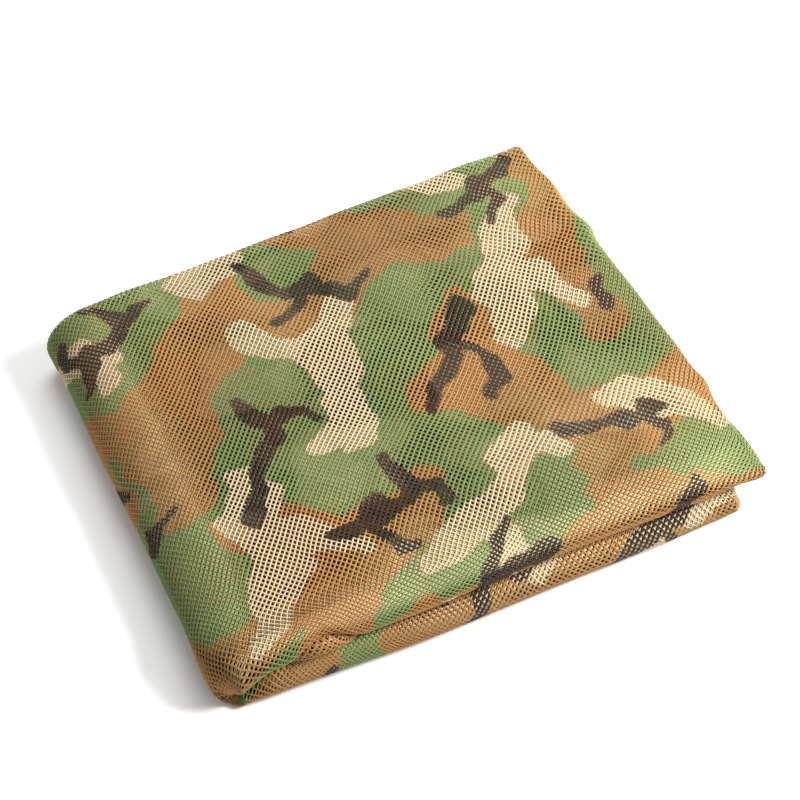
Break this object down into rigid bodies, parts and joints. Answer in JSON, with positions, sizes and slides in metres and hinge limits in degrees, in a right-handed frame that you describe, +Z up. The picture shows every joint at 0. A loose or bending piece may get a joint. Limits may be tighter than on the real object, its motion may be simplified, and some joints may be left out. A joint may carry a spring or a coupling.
{
  "type": "camouflage net",
  "caption": "Camouflage-printed mesh net, folded lengthwise in layers and once across into a flat, nearly square pack.",
  "frame": {"origin": "middle of the pack's footprint box, on the surface it rests on", "axes": "+X along the long front edge, from the wrapped end to the open end; +Y from the front rolls to the back; +Z up through the layers"},
  "size_m": [0.3124, 0.2764, 0.0393],
  "materials": {
    "camouflage_mesh": "matte printed polyester mesh"
  },
  "bodies": {
    "root": {"net_cloth": "camouflage_mesh"}
  },
  "joints": []
}
